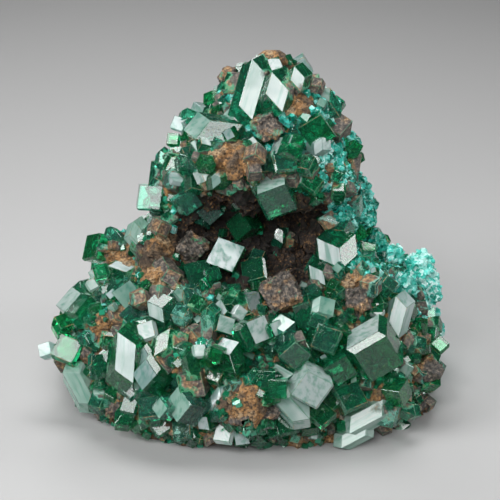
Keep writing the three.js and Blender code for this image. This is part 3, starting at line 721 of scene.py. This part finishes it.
def filler_crystals(places, normals, room, hollow, druse, rock_tree):
    """Crystals that fill the rock between the large ones, all round."""
    dice = random.Random(FILLER_SEED)
    habits = [model_crystal(2.0, 2.0 * ratio) for ratio in FILLER_LENGTHS]
    order = list(range(len(places)))
    dice.shuffle(order)
    low = np.array(CAD_BOX[0])
    high = np.array(CAD_BOX[1])
    taken = np.zeros((0, 3))
    spacing = np.zeros(0)
    made = []
    for vertex in order[:FILLER_TRIES]:
        if room[vertex] < 0.5 or dice.random() < HOLLOW_GAP * min(1, 2 * hollow[vertex]):
            continue
        width = between(*FILLER_WIDTHS, dice.random() ** FILLER_SMALL_BIAS)
        if druse[vertex] > 0.4 and dice.random() < DRUSE_GAP:
            continue
        place = places[vertex]
        if place[2] > FILLER_TOP * MM:
            continue
        if np.any(np.linalg.norm(taken - place, axis=1) < (spacing + width) * FILLER_SPACING * MM):
            continue
        normal = Vector(normals[vertex])
        drift = Vector((dice.gauss(0, 1), dice.gauss(0, 1), dice.gauss(0, 1)))
        axis = (normal * 1.1 + drift * 0.55).normalized()
        centre = Vector(place) + normal * width * 0.22 * MM
        reach = width * 0.8 * MM
        if np.any(np.array(centre) - reach < low) or np.any(np.array(centre) + reach > high):
            continue
        crystal = copy_of(habits[dice.randrange(len(habits))])
        crystal.data.transform(Matrix.Scale(width / 2, 4))
        finish = dice.choices(list(FILLER_FINISHES), list(FILLER_FINISHES.values()))[0]
        place_crystal(crystal, centre, axis, drift, 360 * dice.random(), finish, len(made), rock_tree)
        made.append(crystal)
        taken = np.vstack([taken, place])
        spacing = np.append(spacing, width)
    for habit in habits:
        bpy.data.objects.remove(habit)
    return made


def link_nodes(tree, *pairs):
    for source, target in pairs:
        tree.links.new(source, target)


def grown_small(rock, name, mark, per_mm2, sizes, seed):
    """Small crystals scattered over the rock where a mark allows, by Geometry Nodes, made real."""
    habits = [model_crystal(1.0, length, wear=0) for length in SMALL_LENGTHS]
    shelf = bpy.data.collections.new(f"{name}_habits")
    bpy.context.scene.collection.children.link(shelf)
    for habit in habits:
        for holder in list(habit.users_collection):
            holder.objects.unlink(habit)
        shelf.objects.link(habit)
    tree = bpy.data.node_groups.new(name, "GeometryNodeTree")
    tree.interface.new_socket("Geometry", in_out="INPUT", socket_type="NodeSocketGeometry")
    tree.interface.new_socket("Geometry", in_out="OUTPUT", socket_type="NodeSocketGeometry")
    add = tree.nodes.new
    start, end = add("NodeGroupInput"), add("NodeGroupOutput")
    read = add("GeometryNodeInputNamedAttribute")
    read.data_type = "FLOAT"
    read.inputs["Name"].default_value = mark
    density = add("ShaderNodeMath")
    density.operation = "MULTIPLY"
    density.inputs[1].default_value = per_mm2 / MM**2
    points = add("GeometryNodeDistributePointsOnFaces")
    points.inputs["Seed"].default_value = seed
    shelf_info = add("GeometryNodeCollectionInfo")
    shelf_info.inputs["Collection"].default_value = shelf
    shelf_info.inputs["Separate Children"].default_value = True
    shelf_info.inputs["Reset Children"].default_value = True
    pick = add("FunctionNodeRandomValue")
    pick.data_type = "INT"
    pick.inputs[4].default_value = 0
    pick.inputs[5].default_value = len(habits) - 1
    pick.inputs["Seed"].default_value = seed + 1
    size = add("FunctionNodeRandomValue")
    size.inputs[2].default_value = sizes[0]
    size.inputs[3].default_value = sizes[1]
    size.inputs["Seed"].default_value = seed + 2
    spin = add("FunctionNodeRandomValue")
    spin.data_type = "FLOAT_VECTOR"
    spin.inputs[0].default_value = (-SMALL_LEAN, -SMALL_LEAN, -SMALL_TURN)
    spin.inputs[1].default_value = (SMALL_LEAN, SMALL_LEAN, SMALL_TURN)
    spin.inputs["Seed"].default_value = seed + 3
    turn = add("FunctionNodeRotateRotation")
    turn.rotation_space = "LOCAL"
    grow = add("GeometryNodeInstanceOnPoints")
    grow.inputs["Pick Instance"].default_value = True
    tone = add("FunctionNodeRandomValue")
    tone.inputs["Seed"].default_value = seed + 4
    mark_tone = add("GeometryNodeStoreNamedAttribute")
    mark_tone.data_type = "FLOAT"
    mark_tone.domain = "INSTANCE"
    mark_tone.inputs["Name"].default_value = "tone"
    real = add("GeometryNodeRealizeInstances")
    link_nodes(
        tree,
        (read.outputs[0], density.inputs[0]),
        (start.outputs[0], points.inputs["Mesh"]),
        (density.outputs[0], points.inputs["Density"]),
        (points.outputs["Points"], grow.inputs["Points"]),
        (shelf_info.outputs[0], grow.inputs["Instance"]),
        (pick.outputs[2], grow.inputs["Instance Index"]),
        (points.outputs["Rotation"], turn.inputs["Rotation"]),
        (spin.outputs[0], turn.inputs["Rotate By"]),
        (turn.outputs[0], grow.inputs["Rotation"]),
        (size.outputs[1], grow.inputs["Scale"]),
        (grow.outputs[0], mark_tone.inputs["Geometry"]),
        (tone.outputs[1], mark_tone.inputs["Value"]),
        (mark_tone.outputs[0], real.inputs[0]),
        (real.outputs[0], end.inputs[0]),
    )
    piece = copy_of(rock)
    piece.name = name
    modifier = piece.modifiers.new("growth", "NODES")
    modifier.node_group = tree
    apply_modifiers(piece)
    for habit in habits:
        bpy.data.objects.remove(habit)
    bpy.data.collections.remove(shelf)
    return piece


def new_material(name):
    material = bpy.data.materials.new(name)
    material.use_nodes = True
    tree = material.node_tree
    return material, tree, tree.nodes["Principled BSDF"], tree.nodes["Material Output"]


def noise(tree, source, scale, detail=4, rough=0.6):
    node = tree.nodes.new("ShaderNodeTexNoise")
    node.inputs["Scale"].default_value = scale
    node.inputs["Detail"].default_value = detail
    node.inputs["Roughness"].default_value = rough
    tree.links.new(source, node.inputs["Vector"])
    return node.outputs["Fac"]


def attribute(tree, name):
    node = tree.nodes.new("ShaderNodeAttribute")
    node.attribute_name = name
    return node


def ramp(tree, source, *stops):
    """A colour or value by stops: place from 0 to 1 and colour."""
    node = tree.nodes.new("ShaderNodeValToRGB")
    elements = node.color_ramp.elements
    while len(elements) < len(stops):
        elements.new(0.5)
    for element, (place, colour) in zip(elements, stops):
        element.position = place
        element.color = (*colour, 1) if isinstance(colour, tuple) else (colour, colour, colour, 1)
    tree.links.new(source, node.inputs["Fac"])
    return node.outputs["Color"]


def math_node(tree, operation, first, second, clamp=False):
    node = tree.nodes.new("ShaderNodeMath")
    node.operation = operation
    node.use_clamp = clamp
    for socket, value in zip(node.inputs, (first, second)):
        if isinstance(value, (int, float)):
            socket.default_value = value
        else:
            tree.links.new(value, socket)
    return node.outputs[0]


def mix_colour(tree, share, first, second):
    node = tree.nodes.new("ShaderNodeMix")
    node.data_type = "RGBA"
    sockets = (node.inputs["Factor"], node.inputs[6], node.inputs[7])
    for socket, value in zip(sockets, (share, first, second)):
        if isinstance(value, tuple):
            socket.default_value = (*value, 1)
        elif isinstance(value, (int, float)):
            socket.default_value = value
        else:
            tree.links.new(value, socket)
    return node.outputs[2]


def bump(tree, height, strength, distance, shader):
    node = tree.nodes.new("ShaderNodeBump")
    node.inputs["Strength"].default_value = strength
    node.inputs["Distance"].default_value = distance * MM
    tree.links.new(height, node.inputs["Height"])
    tree.links.new(node.outputs["Normal"], shader.inputs["Normal"])


def absorb(tree, output, colour, per_mm):
    node = tree.nodes.new("ShaderNodeVolumeAbsorption")
    node.inputs["Color"].default_value = (*colour, 1)
    node.inputs["Density"].default_value = per_mm / MM
    tree.links.new(node.outputs["Volume"], output.inputs["Volume"])


def striated(tree):
    """A crystal's own coordinates, drawn out along it, so that a pattern runs in fine lines."""
    grain = attribute(tree, "grain").outputs["Vector"]
    stretch = tree.nodes.new("ShaderNodeMapping")
    stretch.inputs["Scale"].default_value = (1, 1, 0.12)
    tree.links.new(grain, stretch.inputs["Vector"])
    return stretch.outputs["Vector"]


EMERALD_DEPTH = (0.04, 0.74, 0.50)
EMERALD_PER_MM = 0.22
CRYSTAL_IOR = 1.66


def emerald_tint(tree):
    """The green of a crystal's surface, a little different from one crystal to the next."""
    tone = attribute(tree, "tone").outputs["Fac"]
    return ramp(tree, tone, (0.0, (0.05, 0.70, 0.27)), (0.6, (0.09, 0.78, 0.46)), (1.0, (0.24, 0.90, 0.72)))


def emerald_material():
    """Clear emerald crystal with growth lines and steps on its faces, and iron film with painted shade
    towards its foot.
    """
    material, tree, shader, output = new_material("emerald")
    shader.inputs["IOR"].default_value = CRYSTAL_IOR
    lines = striated(tree)
    streak = noise(tree, lines, 1.2, 1, 0.4)
    film, dust = film_cover(tree)
    surface = mix_colour(tree, film, emerald_tint(tree), dust)
    tree.links.new(surface, shader.inputs["Base Color"])
    clear = math_node(tree, "MULTIPLY", math_node(tree, "SUBTRACT", 1, film), 0.95)
    tree.links.new(clear, shader.inputs["Transmission Weight"])
    gloss = ramp(tree, streak, (0.35, 0.03), (0.70, 0.12))
    tree.links.new(mix_colour(tree, film, gloss, (0.75, 0.75, 0.75)), shader.inputs["Roughness"])
    ripple = math_node(tree, "MULTIPLY", noise(tree, lines, 0.9, 1, 0.35), 0.7)
    bump(tree, math_node(tree, "ADD", growth_steps(tree), ripple), 0.12, 0.08, shader)
    absorb(tree, output, EMERALD_DEPTH, EMERALD_PER_MM)
    return material


def frost_and_sheen_material():
    """Pale crystal face, finely etched along its growth lines, from grey-blue to mint; the pale colour is
    partly etching and partly a painted sheen of reflected lamp light.
    """
    material, tree, shader, output = new_material("frosted_emerald_with_painted_sheen")
    shader.inputs["IOR"].default_value = CRYSTAL_IOR
    lines = striated(tree)
    streak = noise(tree, lines, 1.5, 3, 0.5)
    tone = attribute(tree, "tone").outputs["Fac"]
    # Pale colours of the etched face, which also paint the sheen of reflected lamps.
    etched_and_sheen = ramp(
        tree,
        tone,
        (0.0, (0.62, 0.74, 0.77)),
        (0.5, (0.74, 0.86, 0.83)),
        (1.0, (0.46, 0.74, 0.62)),
    )
    # Streaks where the pale etching and painted sheen give way to green.
    sheen_breaks = ramp(tree, streak, (0.36, 0.55), (0.50, 0.10), (0.66, 0.0))
    surface = mix_colour(tree, sheen_breaks, etched_and_sheen, (0.06, 0.40, 0.27))
    cloud = noise(tree, attribute(tree, "grain").outputs["Vector"], 0.16, 2, 0.5)
    surface = mix_colour(tree, ramp(tree, cloud, (0.34, 0.5), (0.50, 0.0)), surface, (0.03, 0.28, 0.20))
    film, dust = film_cover(tree)
    tree.links.new(mix_colour(tree, film, surface, dust), shader.inputs["Base Color"])
    clear = math_node(tree, "MULTIPLY", math_node(tree, "SUBTRACT", 1, film), 0.55)
    tree.links.new(clear, shader.inputs["Transmission Weight"])
    gloss = ramp(tree, streak, (0.35, 0.07), (0.75, 0.22))
    tree.links.new(mix_colour(tree, film, gloss, (0.75, 0.75, 0.75)), shader.inputs["Roughness"])
    relief = math_node(tree, "ADD", growth_steps(tree), math_node(tree, "MULTIPLY", streak, 0.5))
    bump(tree, relief, 0.25, 0.08, shader)
    absorb(tree, output, EMERALD_DEPTH, EMERALD_PER_MM)
    return material


def growth_steps(tree):
    """Flat terraces with sharp edges, as a crystal face grows in."""
    grain = attribute(tree, "grain").outputs["Vector"]
    layers = noise(tree, grain, 0.5, 1, 0.3)
    terraces = ramp(tree, layers, (0.0, 0.0), (0.43, 0.35), (0.51, 0.6), (0.60, 1.0))
    terraces.node.color_ramp.interpolation = "CONSTANT"
    return terraces


def film_cover(tree):
    """Where the dusty iron film lies, with the shade painted at a crystal's foot, and its colours:
    grey-brown to tan.
    """
    place = tree.nodes.new("ShaderNodeTexCoord").outputs["Object"]
    soil_and_shade = attribute(tree, "soil_and_shade").outputs["Fac"]
    cloud = noise(tree, place, 400, 5, 0.6)
    grain = noise(tree, place, 2300, 4, 0.7)
    coarse = math_node(tree, "MULTIPLY", cloud, 0.86)
    cover = math_node(tree, "ADD", coarse, math_node(tree, "MULTIPLY", grain, 0.14))
    film = math_node(tree, "SUBTRACT", math_node(tree, "ADD", cover, soil_and_shade), 0.9)
    film = math_node(tree, "MULTIPLY", film, 7, clamp=True)
    broad = noise(tree, place, 300, 3, 0.5)
    grey = ramp(
        tree,
        grain,
        (0.38, (0.014, 0.013, 0.012)),
        (0.50, (0.065, 0.056, 0.047)),
        (0.60, (0.17, 0.135, 0.105)),
        (0.70, (0.38, 0.29, 0.20)),
    )
    tan = ramp(
        tree,
        grain,
        (0.38, (0.030, 0.018, 0.010)),
        (0.50, (0.14, 0.078, 0.036)),
        (0.60, (0.32, 0.18, 0.075)),
        (0.70, (0.56, 0.40, 0.23)),
    )
    return film, mix_colour(tree, ramp(tree, broad, (0.50, 0.0), (0.58, 1.0)), grey, tan)


def edge_material():
    """Worn crystal edges: chipped pale green, with tan iron caught along them."""
    material, tree, shader, _ = new_material("worn_edges")
    place = tree.nodes.new("ShaderNodeTexCoord").outputs["Object"]
    patch = noise(tree, place, 900, 4)
    colour = ramp(
        tree,
        patch,
        (0.46, (0.01, 0.12, 0.06)),
        (0.54, (0.08, 0.22, 0.13)),
        (0.60, (0.26, 0.16, 0.07)),
        (0.72, (0.42, 0.28, 0.14)),
    )
    tree.links.new(colour, shader.inputs["Base Color"])
    shader.inputs["Roughness"].default_value = 0.4
    return material


def small_crystal_material():
    """Small emerald crystals, half clear."""
    material, tree, shader, _ = new_material("small_emerald")
    shader.inputs["IOR"].default_value = CRYSTAL_IOR
    shader.inputs["Transmission Weight"].default_value = 0.5
    shader.inputs["Roughness"].default_value = 0.1
    tone = attribute(tree, "tone").outputs["Fac"]
    colour = ramp(
        tree,
        tone,
        (0.0, (0.004, 0.08, 0.035)),
        (0.55, (0.01, 0.24, 0.11)),
        (1.0, (0.05, 0.50, 0.30)),
    )
    tree.links.new(colour, shader.inputs["Base Color"])
    return material


def druse_material():
    """Fine turquoise-green druse: each tiny facet has its own green, gloss and slant."""
    material, tree, shader, _ = new_material("turquoise_druse")
    shader.inputs["IOR"].default_value = CRYSTAL_IOR
    shader.inputs["Transmission Weight"].default_value = 0.25
    place = tree.nodes.new("ShaderNodeTexCoord").outputs["Object"]
    facets = tree.nodes.new("ShaderNodeTexVoronoi")
    facets.inputs["Scale"].default_value = 1500
    tree.links.new(place, facets.inputs["Vector"])
    parts = tree.nodes.new("ShaderNodeSeparateColor")
    tree.links.new(facets.outputs["Color"], parts.inputs["Color"])
    tone = attribute(tree, "tone").outputs["Fac"]
    own = math_node(tree, "MULTIPLY", tone, 0.4)
    shade = math_node(tree, "ADD", own, math_node(tree, "MULTIPLY", parts.outputs[0], 0.6))
    colour = ramp(
        tree,
        shade,
        (0.10, (0.0, 0.10, 0.06)),
        (0.40, (0.01, 0.38, 0.28)),
        (0.62, (0.10, 0.74, 0.64)),
        (0.86, (0.60, 0.95, 0.90)),
    )
    tree.links.new(colour, shader.inputs["Base Color"])
    tree.links.new(ramp(tree, parts.outputs[1], (0.2, 0.05), (0.8, 0.35)), shader.inputs["Roughness"])
    slant = math_node(tree, "ADD", facets.outputs["Distance"], noise(tree, place, 900, 3))
    bump(tree, slant, 0.8, 0.3, shader)
    return material


def rock_material():
    """Iron-stained matrix: dark brown with tan and orange crusts, and painted shade nearly black inside the
    hollow.
    """
    material, tree, shader, _ = new_material("iron_stained_matrix")
    place = tree.nodes.new("ShaderNodeTexCoord").outputs["Object"]
    broad = noise(tree, place, 260, 6, 0.65)
    grain = noise(tree, place, 2400, 5, 0.75)
    body = ramp(
        tree,
        broad,
        (0.32, (0.055, 0.040, 0.030)),
        (0.45, (0.17, 0.115, 0.070)),
        (0.53, (0.42, 0.215, 0.075)),
        (0.61, (0.48, 0.34, 0.20)),
        (0.72, (0.26, 0.185, 0.12)),
    )
    speck = ramp(tree, grain, (0.40, 0.92), (0.56, 0.0))
    body = mix_colour(tree, speck, body, (0.025, 0.018, 0.012))
    # The hollow's colours: orange and brown bits of rock over painted shade that reaches near black.
    pits_and_painted_shade = ramp(
        tree,
        grain,
        (0.42, (0.008, 0.006, 0.005)),
        (0.54, (0.040, 0.024, 0.016)),
        (0.61, (0.18, 0.095, 0.038)),
        (0.69, (0.58, 0.31, 0.11)),
    )
    # Broad patches where the painted shade in the hollow turns nearly black.
    depth = ramp(tree, noise(tree, place, 330, 3, 0.5), (0.44, 0.9), (0.58, 0.0))
    pits_and_painted_shade = mix_colour(tree, depth, pits_and_painted_shade, (0.006, 0.005, 0.004))
    hollow = attribute(tree, "hollow").outputs["Fac"]
    tree.links.new(mix_colour(tree, hollow, body, pits_and_painted_shade), shader.inputs["Base Color"])
    shader.inputs["Roughness"].default_value = 0.85
    bump(tree, grain, 0.9, 0.3, shader)
    return material


def dress(piece, slot, *nodes):
    """Attaches a finished piece to the root body and hides the solids that it stands for; the slot is not
    used.
    """
    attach(piece, "root")
    for node in nodes:
        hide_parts(node)


def finish_all_over(piece, material):
    piece.data.materials.clear()
    piece.data.materials.append(material)


def softbox(name, place, aim, size, radiance, spread=180):
    """A rectangular soft light of the given radiance. Places and size in mm, spread in degrees."""
    bpy.ops.object.light_add(type="AREA", location=Vector(place) * MM)
    light = bpy.context.active_object
    light.name = name
    light.data.shape = "RECTANGLE"
    light.data.size, light.data.size_y = (side * MM for side in size)
    light.data.energy = radiance * math.pi * size[0] * size[1] * MM**2
    light.data.spread = math.radians(spread)
    light.rotation_euler = (Vector(aim) - Vector(place)).to_track_quat("-Z", "Y").to_euler()


def light_studio():
    softbox("front_softbox", (-30, -330, 250), (0, 0, 20), (260, 170), 3.9, 140)
    softbox("left_softbox", (-240, -130, 200), (0, -20, 15), (140, 170), 3.9, 110)
    softbox("top_softbox", (20, 80, 300), (0, -30, 0), (220, 130), 3.2, 115)
    softbox("right_softbox", (270, 10, 130), (0, 0, 20), (110, 160), 2.8, 110)
    softbox("small_lamp", (-90, -210, 270), (0, -10, 20), (40, 40), 9, 90)
    softbox("rear_softbox", (-60, 260, 170), (0, 20, 25), (140, 110), 1.3, 100)
    world = bpy.data.worlds.new("studio")
    bpy.context.scene.world = world
    world.use_nodes = True
    world.node_tree.nodes["Background"].inputs["Color"].default_value = (0.02, 0.02, 0.02, 1)


def lay_floor():
    bpy.ops.object.select_all(action="DESELECT")
    bpy.ops.mesh.primitive_plane_add(size=4)
    floor = bpy.context.active_object
    floor.name = "studio_floor"
    material, _, shader, _ = new_material("pale_floor")
    shader.inputs["Base Color"].default_value = (0.36, 0.36, 0.36, 1)
    shader.inputs["Roughness"].default_value = 0.55
    floor.data.materials.append(material)


def set_camera():
    camera = bpy.data.objects.new("camera", bpy.data.cameras.new("camera"))
    bpy.context.scene.collection.objects.link(camera)
    camera.location = VIEWPOINT
    camera.rotation_euler = (-SIGHT_TOWARDS).to_track_quat("-Z", "Y").to_euler()
    camera.data.lens = LENS_MM
    camera.data.sensor_width = 36
    camera.data.clip_start = 0.01
    bpy.context.scene.camera = camera
    bpy.context.scene.view_settings.view_transform = "Standard"


set_camera()
# The frost finish is pale etching with a painted sheen of reflected light.
FINISHES = {"clear": emerald_material(), "frost": frost_and_sheen_material(), "druse": druse_material()}
FINISHES["pale"] = FINISHES["film"] = FINISHES["coat"] = FINISHES["clear"]
EDGE_FINISH = edge_material()

solid_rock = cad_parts["matrix_rock"]
rock_tree = BVHTree.FromObject(solid_rock, bpy.context.evaluated_depsgraph_get())
rings = [rear_crystals(ring, rock_tree) for ring in range(len(REAR_RINGS))]


def rings_between(low, high):
    return [crystal for row, made in zip(REAR_RINGS, rings) if low <= row[0] < high for crystal in made]


groups = {
    "peak": viewed_crystals(PEAK_CRYSTALS, rock_tree, 200) + rings_between(HOLLOW_ROOF, 100),
    "band": viewed_crystals(LEFT_BAND_CRYSTALS, rock_tree, 300)
    + viewed_crystals(FRONT_BAND_CRYSTALS, rock_tree, 400)
    + viewed_crystals(RIGHT_BAND_CRYSTALS, rock_tree, 500)
    + rings_between(0, BAND_TOP),
    "flank": viewed_crystals(FLANK_CRYSTALS, rock_tree, 600) + rings_between(BAND_TOP, HOLLOW_ROOF),
    "hollow": viewed_crystals(HOLLOW_CRYSTALS, rock_tree, 700),
}
SLOTS = {"peak": "dioptase", "band": "dioptase", "flank": "dioptase", "hollow": "hollow_lining"}
bpy.context.view_layer.update()
reaches = [crystal_reach(crystal) for made in groups.values() for crystal in made]

rock = model_rock(solid_rock)
places, normals, room, hollow, druse = mark_rock(rock, reaches)
fillers = filler_crystals(places, normals, room, hollow, druse, rock_tree)
small, fine = [grown_small(rock, name, *growth) for name, growth in SMALL_GROWTH.items()]

for name, crystals in groups.items():
    piece = join_pieces(crystals, f"{name}_crystals")
    keep_in_box(piece)
    dress(piece, SLOTS[name], f"{name}_crust")
filler = join_pieces(fillers, "filler_crystals")
keep_in_box(filler)
dress(filler, "dioptase")
finish_all_over(rock, rock_material())
dress(rock, "matrix", "matrix_rock")
finish_all_over(small, small_crystal_material())
dress(small, "dioptase")
finish_all_over(fine, FINISHES["druse"])
dress(fine, "druse")
for piece in (small, fine):
    keep_in_box(piece)

lay_floor()
light_studio()
